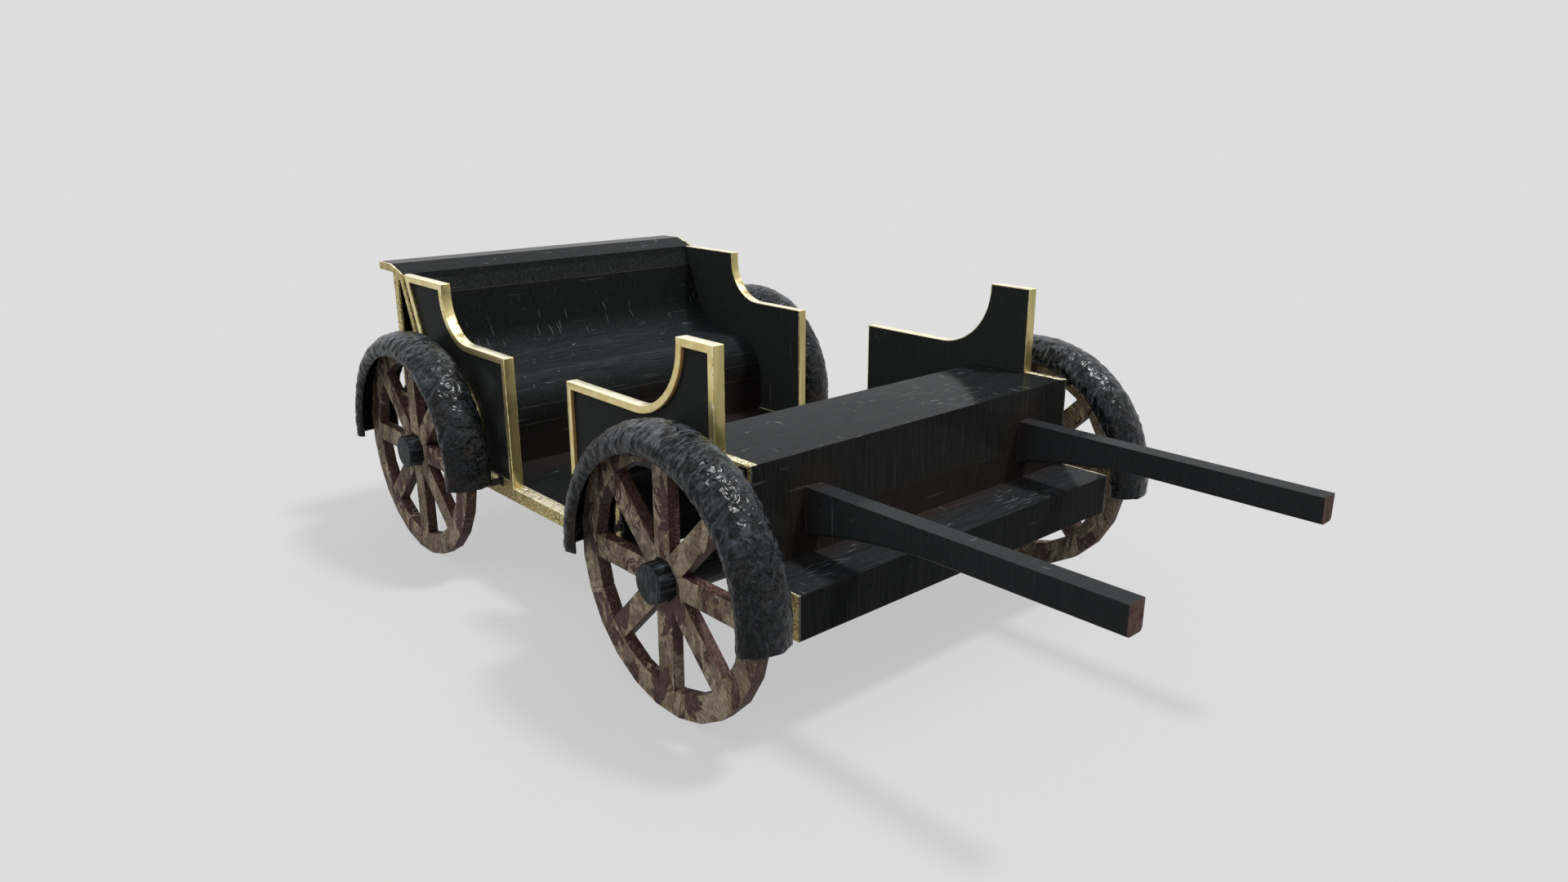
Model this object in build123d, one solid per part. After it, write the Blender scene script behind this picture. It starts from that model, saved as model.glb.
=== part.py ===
"""Open four-wheeled royal carriage with two shafts, in millimetres.

X points forwards to the shafts, Y to the carriage's left and Z up.
The origin is on the ground, below the middle of the carriage's length and width.
Lengths along X are first taken from the front axle, and place() moves them to the origin.
"""
from build123d import *
import os
from math import cos, radians, sin, tan

os.makedirs("parts", exist_ok=True)

# Wheels: eight felloes with one spoke each, on a nave that turns on the axle's arm
wheel_radius = 500          # to the rim's corners
rim_depth = 95              # radial depth of a felloe
wheel_thickness = 50        # felloes
spoke_thickness = 46
wheel_plane = 998           # from the carriage's middle to the wheel's middle plane
wheelbase = 1936
spoke_count = 8
flats_per_felloe = 3        # straight sawn flats round the outside of one felloe
spoke_width = 86
tenon_width = 32
tenon_thickness = 26
rim_tenon_length = 50
nave_tenon_length = 20
felloe_joint = 0.8          # open joint between two felloes
nave_radius = 72
nave_outer_length = 85      # from the wheel's middle plane outwards
nave_inner_length = 38
seat_clearance = 0.3        # between pieces that are fitted by hand
running_clearance = 0.05    # radial, between an axle arm and its nave
nave_end_wall = 25

# Axles
axle_radius = 66
arm_radius = 38
shoulder_gap = 5            # between an axle's shoulder and the nave

# Body: width over the gilded edging, and the boards
body_width = 1726
edging_thickness = 10
floor_top = 424
floor_thickness = 56
sill_width = 62
seat_board = 30             # bent seats and risers
seat_height = 384           # above the floor
seat_nose_radius = 210

# Rear seat and back; their places along X are from the rear axle
rear_riser_ahead = 304
rear_seat_foot_behind = 172  # where the seat's line meets the back's line
rear_back_tilt = 22.3
rear_heel_radius = 235
rear_wall_gap = 60          # from the seat back's upper end to the wall
rear_wall_thickness = 47
cornice_board = 36          # thickness of the cornice's overhang
cornice_overhang = 157      # behind the rear wall
cornice_slope = 121         # length of the top that turns down towards the seat
cornice_nose_drop = 37      # from the top to the nose, level with the rear panels' tops
cornice_nose_depth = 31     # from the nose down to the seat back's end

# Front box and jump seat
box_front_face = 268
box_rear_edge = -166
box_rise = 115              # box's top above the seats
box_top_board = 30
box_front_board = 56
box_strip_width = 34        # gilded strip on each side of the box's top
front_riser = -524
front_heel_radius = 80

# Footboard
footboard_front = 497
footboard_top = 557
footboard_bottom = 400
footboard_board = 40

# Shafts
shaft_tip = 1465
shaft_drop = 124            # from the box's top to the shafts' tops
shaft_width = 74
shaft_spacing = 1170        # between the shafts' middles
shaft_root_depth = 175
shaft_tip_depth = 95
shaft_haunch = 620          # length of the hollow curve under the root
shaft_edge_round = 14
shaft_tenon_inset = 14

# Side panels: black boards in mitred gilt frames
panel_thickness = 48
frame_width = 30
frame_depth = 16            # how far the frame stands proud of the board
frame_lip = 4               # gilt lip over the board's free edges
seat_groove = 25            # open groove between a bent seat and the frame
rear_rail_height = 194      # low rail above the seat
rear_panel_rise = 247       # from the low rail to the top
rear_panel_straight = 40    # of the tall edge, above the hollow curve
rear_post_ahead = 614       # of the rear axle
rear_tall_edge_ahead = 66
front_rail_height = 76      # low rail above the box's top
front_panel_rise = 282
front_panel_straight = 21
front_post = -826
front_tall_edge = -109
front_panel_end = 90

# Axle beds and the iron straps that hold the axles
bolster_length = 1580
saddle_height = 31          # from the axle's middle up to the bed's underside
strap_width = 50
strap_iron = 8
strap_leg = 150             # above the axle's middle
strap_spacing = 1180

# Mudguards: half-round troughs over the wheels, with straight ends, on square iron stays
guard_offset = 25           # guard's centre, ahead of the axle
guard_plane = 1016          # from the carriage's middle to the guard's middle plane
guard_mean_radius = 484
guard_half_width = 105.5
guard_crown = 71            # crown above the mean radius
guard_wall = 12             # at the crown
guard_side_wall = 24
guard_lip_angle = 124       # from the crown round to each edge
guard_front_drop = 50       # straight end below the axle's height, in front
guard_rear_drop = 18
guard_length_count = 18     # flat lengths round the wheel
guard_width_count = 10      # flats across the section
stay_width = 24
stay_plate_width = 40
stay_plate_thickness = 6
stay_engagement = 14        # how far a stay goes into the guard's wall

rim_flats = spoke_count * flats_per_felloe
flat_half_angle = 180 / rim_flats
spoke_pitch = 360 / spoke_count
axle_height = wheel_radius * cos(radians(flat_half_angle))
rim_inner_radius = wheel_radius - rim_depth
rim_seat = rim_inner_radius * cos(radians(flat_half_angle))
half_width = body_width / 2
board_half = half_width - edging_thickness
seat_top = floor_top + seat_height
box_top_height = seat_top + box_rise
shaft_top = box_top_height - shaft_drop
rear_rail = seat_top + rear_rail_height
front_rail = box_top_height + front_rail_height
floor_bottom = floor_top - floor_thickness
panel_inner = half_width - panel_thickness
rear_axle_place = -wheelbase
rear_riser = rear_axle_place + rear_riser_ahead
rear_seat_foot = rear_axle_place - rear_seat_foot_behind
cornice_nose_height = rear_rail + rear_panel_rise
cornice_top = cornice_nose_height + cornice_nose_drop
cornice_underside = cornice_top - cornice_board
seat_back_top = cornice_nose_height - cornice_nose_depth
back_slope = tan(radians(rear_back_tilt))
cornice_front = rear_seat_foot - back_slope * (cornice_nose_height - seat_top)
cornice_break = cornice_front - cornice_slope
seat_back_edge = rear_seat_foot - back_slope * (seat_back_top - seat_top)
rear_wall_inner = seat_back_edge - rear_wall_gap
rear_wall_outer = rear_wall_inner - rear_wall_thickness
cornice_rear = rear_wall_outer - cornice_overhang
middle = (shaft_tip + cornice_rear) / 2


def place(shape):
    """Moves a shape from the front axle's station to the carriage's origin."""
    return Pos(-middle, 0, 0) * shape


def save(shape, node):
    """Writes one node, named and placed."""
    export_step(place(shape), f"parts/{node}.step")


def slab(face, y_low, y_high):
    """Extrudes a side-view face from one Y to another."""
    return extrude(Plane.XZ.offset(-y_high) * face, amount=y_high - y_low)


def both_sides(face, y_low, y_high):
    """Gives the right-hand and left-hand slabs of a side-view face."""
    return {"right": slab(face, -y_high, -y_low), "left": slab(face, y_low, y_high)}


def rectangle(x_low, z_low, x_high, z_high):
    """Side-view rectangle between two corners."""
    return make_face(Polyline((x_low, z_low), (x_high, z_low), (x_high, z_high), (x_low, z_high), close=True))


def seat_line(seat, gap, bottom, top):
    """The bent seat's upper surface, moved out by a gap, between two heights."""
    toward = seat["toward"]
    tilt = radians(seat["tilt"])
    level = seat_top + gap
    riser = seat["riser"] + toward * gap
    foot = seat["foot"] + toward * gap * (1 - sin(tilt)) / cos(tilt)
    head = foot - toward * tan(tilt) * (top - level)
    corners = [(riser, bottom), (riser, level), (foot, level), (head, top)]
    return FilletPolyline(*corners, radius=[seat_nose_radius + gap, seat["heel"] - gap])


def seat_section(seat, top):
    """Side view of a bent seat board, with its ends closed."""
    upper = seat_line(seat, 0, floor_bottom, top)
    lower = seat_line(seat, -seat_board, floor_bottom, top)
    return make_face([upper, Line(upper @ 1, lower @ 1), lower, Line(lower @ 0, upper @ 0)])


# The two seats: which way each faces (+1 forwards), its riser, foot line, back tilt and heel radius
rear_bench = {"toward": 1, "riser": rear_riser, "foot": rear_seat_foot, "tilt": rear_back_tilt,
              "heel": rear_heel_radius}
front_bench = {"toward": -1, "riser": front_riser, "foot": box_rear_edge, "tilt": 0,
               "heel": front_heel_radius}

# Floor between the two risers, with a gilded sill along each side
floor_inner = half_width - sill_width
floor_face = rectangle(rear_riser, floor_bottom, front_riser, floor_top)
save(slab(floor_face, -floor_inner, floor_inner), "floor_board")
for side, sill in both_sides(floor_face, floor_inner, half_width).items():
    save(sill, f"sill_{side}")

# Rear seat, rear wall and the cornice that caps them both
rear_seat_face = seat_section(rear_bench, seat_back_top)
rear_wall_face = rectangle(rear_wall_outer, floor_bottom, rear_wall_inner, cornice_underside)
cornice_face = make_face(Polyline(
    (cornice_rear, cornice_underside), (cornice_rear, cornice_top), (cornice_break, cornice_top),
    (cornice_front, cornice_nose_height), (seat_back_edge, seat_back_top),
    (rear_wall_inner, seat_back_top), (rear_wall_inner, cornice_underside), close=True))
save(slab(rear_seat_face, -board_half, board_half), "rear_seat")
save(slab(rear_wall_face, -board_half, board_half), "rear_wall")
save(slab(cornice_face, -board_half, board_half), "rear_cornice")
rear_edging = rear_seat_face + rear_wall_face + cornice_face
for side, edging in both_sides(rear_edging, board_half, half_width).items():
    save(edging, f"rear_edging_{side}")

# Front box: jump seat, top board, front board and footboard, mitred at their corners
front_seat_face = seat_section(front_bench, box_top_height - box_top_board)
box_top_inner = box_top_height - box_top_board
box_front_inner = box_front_face - box_front_board
box_top_face = make_face(Polyline(
    (box_rear_edge, box_top_height), (box_front_face, box_top_height),
    (box_front_inner, box_top_inner), (box_rear_edge, box_top_inner), close=True))
box_front_section = make_face(Polyline(
    (box_front_face, box_top_height), (box_front_face, footboard_bottom),
    (box_front_inner, footboard_bottom), (box_front_inner, box_top_inner), close=True))
tread_inner = footboard_top - footboard_board
apron_inner = footboard_front - footboard_board
tread_face = make_face(Polyline(
    (box_front_face, footboard_top), (footboard_front, footboard_top),
    (apron_inner, tread_inner), (box_front_face, tread_inner), close=True))
apron_face = make_face(Polyline(
    (footboard_front, footboard_top), (footboard_front, footboard_bottom),
    (apron_inner, footboard_bottom), (apron_inner, tread_inner), close=True))
box_top_half = half_width - box_strip_width
save(slab(front_seat_face, -board_half, board_half), "front_seat")
save(slab(box_top_face, -box_top_half, box_top_half), "box_top")
save(slab(tread_face, -board_half, board_half), "footboard_tread")
save(slab(apron_face, -board_half, board_half), "footboard_apron")
front_edging = front_seat_face + box_top_face + box_front_section + tread_face + apron_face
top_strips = both_sides(box_top_face, box_top_half, half_width)
for side, edging in both_sides(front_edging, board_half, half_width).items():
    save(edging + top_strips[side], f"front_edging_{side}")


def shaft_tenon(middle_y, clearance):
    """The block of a shaft that goes through the box's front board, or its mortise with a clearance."""
    low = shaft_top - shaft_root_depth + shaft_tenon_inset - clearance
    high = shaft_top - shaft_tenon_inset + clearance
    half = shaft_width / 2 - shaft_tenon_inset + clearance
    return slab(rectangle(box_front_inner, low, box_front_face, high), middle_y - half, middle_y + half)


def shaft(middle_y):
    """One shaft: straight top, a hollow curve under its root and rounded lower edges."""
    root_bottom = shaft_top - shaft_root_depth
    tip_bottom = shaft_top - shaft_tip_depth
    haunch_end = box_front_face + shaft_haunch
    outline = make_face([
        Line((box_front_face, root_bottom), (box_front_face, shaft_top)),
        Line((box_front_face, shaft_top), (shaft_tip, shaft_top)),
        Line((shaft_tip, shaft_top), (shaft_tip, tip_bottom)),
        Line((shaft_tip, tip_bottom), (haunch_end, tip_bottom)),
        TangentArc((haunch_end, tip_bottom), (box_front_face, root_bottom), tangent=(-1, 0))])
    pole = slab(outline, middle_y - shaft_width / 2, middle_y + shaft_width / 2)
    lower_edges = [e for e in pole.edges()
                   if e.center().Z < tip_bottom + 1 and abs((e @ 0).Y - (e @ 1).Y) < 0.01
                   and abs((e @ 0).X - (e @ 1).X) > shaft_width]
    return fillet(lower_edges, shaft_edge_round) + shaft_tenon(middle_y, 0)


# Shafts, tenoned through the box's front board
box_front = slab(box_front_section, -board_half, board_half)
for side, sign in (("right", -1), ("left", 1)):
    save(shaft(sign * shaft_spacing / 2), f"shaft_{side}")
    box_front -= shaft_tenon(sign * shaft_spacing / 2, seat_clearance)
save(box_front, "box_front")


def panel_face(panel, inset, gap, lift):
    """Side view of a panel.

    The free edges come in by the inset, the bent seat is cleared by the gap, and the floor and the
    box's top by the lift.
    """
    bench = panel["bench"]
    toward = bench["toward"]
    post = panel["post"] - toward * inset
    low = panel["low"] - inset
    tall = panel["tall"] - toward * inset
    curve = panel["rise"] - panel["straight"] + inset
    top = panel["low"] + panel["rise"] - inset
    base = floor_top + lift
    foot = top if panel["end"] is None else panel["end_foot"] + lift
    seat = seat_line(bench, gap, base, foot)
    edges = [
        Line(seat @ 0, (post, base)),
        Line((post, base), (post, low)),
        Line((post, low), (tall + toward * curve, low)),
        RadiusArc((tall + toward * curve, low), (tall, low + curve), toward * curve),
        Line((tall, low + curve), (tall, top))]
    if panel["end"] is None:
        edges.append(Line((tall, top), seat @ 1))
    else:
        end = panel["end"] + toward * inset
        edges.append(Line((tall, top), (end, top)))
        edges.append(Line((end, top), (end, foot)))
        edges.append(Line((end, foot), seat @ 1))
    return make_face(edges + [seat])


# Side panels: the bench each stands on, its post, low rail's height, rise to the top, tall edge, the
# straight of that edge above the hollow curve, where its top ends, and the foot of that end (none
# where it dies into the seat's back)
rear_panel = {"bench": rear_bench, "post": rear_axle_place + rear_post_ahead, "low": rear_rail,
              "rise": rear_panel_rise, "tall": rear_axle_place + rear_tall_edge_ahead,
              "straight": rear_panel_straight, "end": None, "end_foot": None}
front_panel = {"bench": front_bench, "post": front_post, "low": front_rail, "rise": front_panel_rise,
               "tall": front_tall_edge, "straight": front_panel_straight, "end": front_panel_end,
               "end_foot": box_top_height}
board_face_y = half_width - frame_depth
for name, panel in (("rear", rear_panel), ("front", front_panel)):
    board_outline = panel_face(panel, frame_lip, 0, 0)
    opening = panel_face(panel, frame_width, seat_groove + frame_width, frame_width)
    bars = panel_face(panel, 0, seat_groove, 0) - opening
    lips = panel_face(panel, 0, 0, 0) - board_outline
    outer_bars = both_sides(bars, board_face_y, half_width)
    edge_lips = both_sides(lips, panel_inner, board_face_y)
    boards = both_sides(board_outline, panel_inner, board_face_y)
    for side in ("right", "left"):
        save(outer_bars[side] + edge_lips[side], f"{name}_panel_frame_{side}")
        save(boards[side], f"{name}_panel_board_{side}")


def rod(x, z, y_low, y_high, radius):
    """Round bar along Y."""
    return Pos(x, y_high, z) * (Rot(90, 0, 0) * extrude(Circle(radius), amount=y_high - y_low))


def axle(station):
    """Axle with its two turned arms."""
    shoulder = wheel_plane - nave_inner_length - shoulder_gap
    arm_end = wheel_plane + nave_outer_length - nave_end_wall - shoulder_gap
    body = rod(station, axle_height, -shoulder, shoulder, axle_radius)
    return body + rod(station, axle_height, -arm_end, arm_end, arm_radius)


def bolster(station, top):
    """Axle bed: a timber on edge, hollowed over the axle."""
    low = axle_height + saddle_height
    beam = slab(rectangle(station - axle_radius, low, station + axle_radius, top),
                -bolster_length / 2, bolster_length / 2)
    return beam - rod(station, axle_height, -bolster_length, bolster_length, axle_radius)


def straps(station):
    """Two iron straps round the axle, with their legs on the faces of its bed."""
    outer = axle_radius + strap_iron
    top = axle_height + strap_leg
    loop = Circle(outer) + Pos(0, strap_leg / 2) * Rectangle(2 * outer, strap_leg)
    loop -= Circle(axle_radius) + Pos(0, strap_leg) * Rectangle(2 * axle_radius, 2 * strap_leg)
    loop = Pos(station, axle_height) * loop
    both = []
    for sign in (-1, 1):
        middle_y = sign * strap_spacing / 2
        both.append(slab(loop, middle_y - strap_width / 2, middle_y + strap_width / 2))
    return Compound(both)


axles = {"front": {"station": 0, "bed_top": box_top_inner},
         "rear": {"station": rear_axle_place, "bed_top": seat_top - seat_board}}
for name, row in axles.items():
    save(axle(row["station"]), f"{name}_axle")
    save(bolster(row["station"], row["bed_top"]), f"{name}_bolster")
    save(straps(row["station"]), f"{name}_axle_straps")


def guard_section(half_y, crown, turn, drop):
    """Points of a guard's outer or inner surface from lip to lip.

    The section is turned round the guard's axis from the front, then dropped.
    """
    points = []
    for i in range(guard_width_count + 1):
        across = radians(guard_lip_angle * (2 * i / guard_width_count - 1))
        radius = guard_mean_radius + crown * cos(across)
        points.append((radius * cos(turn), half_y * sin(across), radius * sin(turn) - drop))
    return points


def guard():
    """Mudguard about the origin's Y axis, beaten in flat lengths; the same over every wheel."""
    turns = [(radians(180 * i / guard_length_count), 0) for i in range(guard_length_count + 1)]
    stations = [(0, guard_front_drop)] + turns + [(radians(180), guard_rear_drop)]
    sections = []
    for turn, drop in stations:
        outer = guard_section(guard_half_width, guard_crown, turn, drop)
        inner = guard_section(guard_half_width - guard_side_wall, guard_crown - guard_wall, turn, drop)
        sections.append(make_face(Polyline(*outer, *reversed(inner), close=True)))
    return loft(sections, ruled=True)


def square_bar(x, z, y_low, y_high, width):
    """Square bar along Y."""
    half = width / 2
    return slab(rectangle(x - half, z - half, x + half, z + half), y_low, y_high)


# Stays from the body's side to each guard: how far ahead of the axle each stands, and its height
stays = {"front": ((238, 896), (-485, 500)), "rear": ((509, 439), (-234, 921), (-424, 672))}
guard_shape = guard()
for name, row in axles.items():
    for side, sign in (("right", -1), ("left", 1)):
        solid = Pos(row["station"] + guard_offset, sign * guard_plane, axle_height) * guard_shape
        for ahead, z in stays[name]:
            x = row["station"] + ahead
            rise = max(z - axle_height, 0)
            reach = ((ahead - guard_offset) ** 2 + rise ** 2) ** 0.5 - guard_mean_radius
            side_y = guard_half_width * (1 - (reach / guard_crown) ** 2) ** 0.5
            bar_ends = sorted((sign * half_width, sign * (guard_plane - side_y + stay_engagement)))
            plate_ends = sorted((sign * half_width, sign * (half_width + stay_plate_thickness)))
            solid += square_bar(x, z, *bar_ends, stay_width)
            solid += square_bar(x, z, *plate_ends, stay_plate_width)
        save(solid, f"{name}_guard_{side}")


def wheel_ring():
    """Rim of straight sawn flats, with a joint midway between each two spokes."""
    outline = RegularPolygon(wheel_radius, rim_flats, rotation=flat_half_angle)
    ring = outline - RegularPolygon(rim_inner_radius, rim_flats, rotation=flat_half_angle)
    for k in range(spoke_count):
        joint = Pos(wheel_radius - rim_depth / 2, 0) * Rectangle(2 * rim_depth, felloe_joint)
        ring -= Rot(0, 0, spoke_pitch * (k + 0.5)) * joint
    return ring


def spoke_faces():
    """Front view of one spoke's body and of its two tenons."""
    wedge = make_face(Polyline(
        (0, 0), (wheel_radius, wheel_radius * tan(radians(spoke_pitch / 2))),
        (wheel_radius, -wheel_radius * tan(radians(spoke_pitch / 2))), close=True))
    body = Pos((nave_radius + rim_seat) / 2, 0) * Rectangle(rim_seat - nave_radius, spoke_width)
    body = (body & (Pos(seat_clearance, 0) * wedge)) - Circle(nave_radius)
    start = nave_radius - nave_tenon_length
    end = rim_seat + rim_tenon_length
    tenon = Pos((start + end) / 2, 0) * Rectangle(end - start, tenon_width)
    return body, tenon


def tenon_hole():
    """Room for one tenon, with the fitting clearance all round."""
    start = nave_radius - nave_tenon_length - seat_clearance
    end = rim_seat + rim_tenon_length + seat_clearance
    face = Pos((start + end) / 2, 0) * Rectangle(end - start, tenon_width + 2 * seat_clearance)
    depth = tenon_thickness / 2 + seat_clearance
    return extrude(face, amount=depth, both=True)


def wheel():
    """Felloes, spokes and nave about the Z axis, with the wheel's outer side at +Z."""
    felloes = extrude(wheel_ring(), amount=wheel_thickness / 2, both=True)
    nave = Pos(0, 0, -nave_inner_length) * extrude(Circle(nave_radius), amount=nave_inner_length
                                                    + nave_outer_length)
    bore = Pos(0, 0, -nave_inner_length) * extrude(
        Circle(arm_radius + running_clearance), amount=nave_inner_length + nave_outer_length - nave_end_wall)
    nave -= bore
    body, tenon = spoke_faces()
    spoke = extrude(body, amount=spoke_thickness / 2, both=True)
    spoke += extrude(tenon, amount=tenon_thickness / 2, both=True)
    hole = tenon_hole()
    spokes = []
    for k in range(spoke_count):
        turn = Rot(0, 0, spoke_pitch * k)
        spokes.append(turn * spoke)
        felloes -= turn * hole
        nave -= turn * hole
    return {"felloes": felloes, "spokes": Compound(spokes), "nave": nave}


wheel_pieces = wheel()
for name, row in axles.items():
    for side, sign in (("right", -1), ("left", 1)):
        stand = Pos(row["station"], sign * wheel_plane, axle_height) * Rot(-90 * sign, 0, 0)
        for piece, shape in wheel_pieces.items():
            save(stand * shape, f"{name}_wheel_{side}_{piece}")
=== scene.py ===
import bmesh
import bpy
from math import cos, pi, radians
from mathutils import Matrix, Vector, noise


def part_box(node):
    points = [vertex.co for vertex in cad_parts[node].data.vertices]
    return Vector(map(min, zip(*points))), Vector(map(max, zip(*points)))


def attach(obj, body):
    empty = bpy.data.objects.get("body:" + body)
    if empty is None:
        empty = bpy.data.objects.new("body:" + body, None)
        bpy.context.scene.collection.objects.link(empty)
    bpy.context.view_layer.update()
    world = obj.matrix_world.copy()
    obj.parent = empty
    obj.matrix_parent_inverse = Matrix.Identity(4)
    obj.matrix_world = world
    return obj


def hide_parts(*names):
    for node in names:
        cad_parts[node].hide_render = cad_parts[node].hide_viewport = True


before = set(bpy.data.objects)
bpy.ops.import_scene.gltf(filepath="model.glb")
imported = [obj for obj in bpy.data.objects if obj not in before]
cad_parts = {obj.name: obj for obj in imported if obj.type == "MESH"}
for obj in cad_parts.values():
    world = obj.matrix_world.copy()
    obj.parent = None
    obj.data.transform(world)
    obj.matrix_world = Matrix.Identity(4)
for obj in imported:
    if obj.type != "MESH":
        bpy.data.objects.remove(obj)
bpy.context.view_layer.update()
scene = bpy.context.scene
scene.view_settings.view_transform = "Standard"
SIDES = {"right": -1, "left": 1}
ENDS = ("front", "rear")

# The room: a pale floor that runs out to an even, pale surround, with the light of a wide soft sky
# and one broad lamp high up, beyond the carriage's left front wheel, that sparkles on metal.
WHITE = (1.0, 1.0, 1.0, 1.0)
SURROUND = (0.723, 0.723, 0.723, 1.0)
DOME_LOW = 0.50
DOME_HIGH = 0.90
MIRRORED_HIGH = 1.5
FLOOR_RADIUS = 60.0
FLOOR_SEGMENTS = 64
FLOOR_GLOW = 0.506
FLOOR_TONE = (0.145, 0.145, 0.145, 1.0)
LAMP_FROM = Vector((0.28, 0.30, 0.87))
LAMP_POWER = 2.5
LAMP_SPREAD = radians(9)
EYE = Vector((3.2502, -2.9153, 1.9905))
EYE_DIP = radians(17.1176)
EYE_ROUND = radians(48.062)
EYE_LENS = 24.62
EYE_FILM = 36.0


def set_inputs(tree, node, inputs):
    """Sets a node's inputs, and links those whose value is another node's socket."""
    for key, value in inputs.items():
        if isinstance(value, bpy.types.NodeSocket):
            tree.links.new(value, node.inputs[key])
        else:
            node.inputs[key].default_value = value


def put(tree, kind, inputs=None, **settings):
    """Adds a node with its settings and its inputs."""
    node = tree.nodes.new("ShaderNode" + kind)
    for name, value in settings.items():
        setattr(node, name, value)
    set_inputs(tree, node, inputs or {})
    return node


def reckon(tree, operation, *values):
    """A Math node's result."""
    return put(tree, "Math", dict(enumerate(values)), operation=operation).outputs[0]


def most(tree, greatest, *others):
    """The greatest of some values."""
    for other in others:
        greatest = reckon(tree, "MAXIMUM", greatest, other)
    return greatest


def spread(tree, value, low, high, to_low=0.0, to_high=1.0):
    """Maps a value from one range to another, and holds it there."""
    inputs = {"Value": value, "From Min": low, "From Max": high, "To Min": to_low, "To Max": to_high}
    return put(tree, "MapRange", inputs).outputs["Result"]


def split(tree, vector):
    """A vector's parts along X, Y and Z."""
    return put(tree, "SeparateXYZ", {0: vector}).outputs


def room_light():
    """Sky: the plain surround to the eye, bright overhead in mirrors, and to the carriage a soft dome."""
    world = bpy.data.worlds.new("room")
    scene.world = world
    world.use_nodes = True
    tree = world.node_tree
    tree.nodes.clear()
    height = split(tree, put(tree, "TexCoord").outputs["Generated"])["Z"]
    overhead = spread(tree, height, 0.0, 0.9, DOME_LOW, DOME_HIGH)
    dome = put(tree, "Background", {"Color": WHITE, "Strength": overhead}).outputs[0]
    bright = spread(tree, height, 0.1, 0.5, 1.0, MIRRORED_HIGH)
    mirrored = put(tree, "Background", {"Color": SURROUND, "Strength": bright}).outputs[0]
    plain = put(tree, "Background", {"Color": SURROUND, "Strength": 1.0}).outputs[0]
    rays = put(tree, "LightPath").outputs
    shiny = most(tree, rays["Is Glossy Ray"], rays["Is Transmission Ray"])
    around = put(tree, "MixShader", {0: shiny, 1: dome, 2: mirrored}).outputs[0]
    sky = put(tree, "MixShader", {0: rays["Is Camera Ray"], 1: around, 2: plain}).outputs[0]
    put(tree, "OutputWorld", {"Surface": sky})


def floor_paint():
    """Matt floor: to the eye and in mirrors it also glows, so that the carriage's shadow stays light."""
    paint = bpy.data.materials.new("floor_paint")
    paint.use_nodes = True
    tree = paint.node_tree
    tree.nodes.clear()
    matt = put(tree, "BsdfDiffuse", {"Color": FLOOR_TONE}).outputs[0]
    glow = put(tree, "Emission", {"Color": WHITE, "Strength": FLOOR_GLOW}).outputs[0]
    rays = put(tree, "LightPath").outputs
    seen = most(tree, rays["Is Camera Ray"], rays["Is Glossy Ray"], rays["Is Transmission Ray"])
    lit = put(tree, "AddShader", {0: matt, 1: glow}).outputs[0]
    surface = put(tree, "MixShader", {0: seen, 1: matt, 2: lit}).outputs[0]
    put(tree, "OutputMaterial", {"Surface": surface})
    return paint


def as_object(name, form, *materials):
    """Makes a finished object of a bmesh, at the origin."""
    mesh = bpy.data.meshes.new(name)
    form.to_mesh(mesh)
    form.free()
    thing = bpy.data.objects.new(name, mesh)
    for material in materials:
        mesh.materials.append(material)
    scene.collection.objects.link(thing)
    return thing


room_light()
form = bmesh.new()
bmesh.ops.create_circle(form, cap_ends=True, segments=FLOOR_SEGMENTS, radius=FLOOR_RADIUS)
floor = as_object("floor", form, floor_paint())
lamp = bpy.data.objects.new("lamp", bpy.data.lights.new("lamp", "SUN"))
lamp.data.energy = LAMP_POWER
lamp.data.angle = LAMP_SPREAD
lamp.rotation_euler = LAMP_FROM.to_track_quat("Z", "Y").to_euler()
scene.collection.objects.link(lamp)
eye = bpy.data.objects.new("eye", bpy.data.cameras.new("eye"))
eye.data.lens = EYE_LENS
eye.data.sensor_width = EYE_FILM
eye.location = EYE
eye.rotation_euler = (pi / 2 - EYE_DIP, 0.0, EYE_ROUND)
scene.collection.objects.link(eye)
scene.camera = eye

# The boards: planed timber under black lacquer, rubbed, scratched and dusty. The grain shows as fine
# lines, upright on the standing faces and across the carriage on the lying ones. Where two boards
# meet, a red-brown tint is painted in the corner as painted shade, and what lies flat carries a
# painted sheen.
LACQUER = (0.0080, 0.0088, 0.0090, 1.0)
LACQUER_STREAK = (0.0185, 0.0190, 0.0180, 1.0)
# A red-brown tint that is painted where parts meet, as painted shade.
LACQUER_CORNER_SHADE = (0.0260, 0.0165, 0.0150, 1.0)
LACQUER_LINE = (0.055, 0.040, 0.036, 1.0)
# How strongly that red-brown painted shade is laid on.
LACQUER_CORNER_SHADE_STRENGTH = 0.8
LACQUER_ROUGHNESS = (0.07, 0.16)
LACQUER_GLOSS = 0.014
LACQUER_RELIEF = 0.0005
SCRATCHED = (0.36, 0.38, 0.38, 1.0)
SCRIBBLE_STRENGTH = 0.6
HAIRLINE_STRENGTH = 0.14
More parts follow.
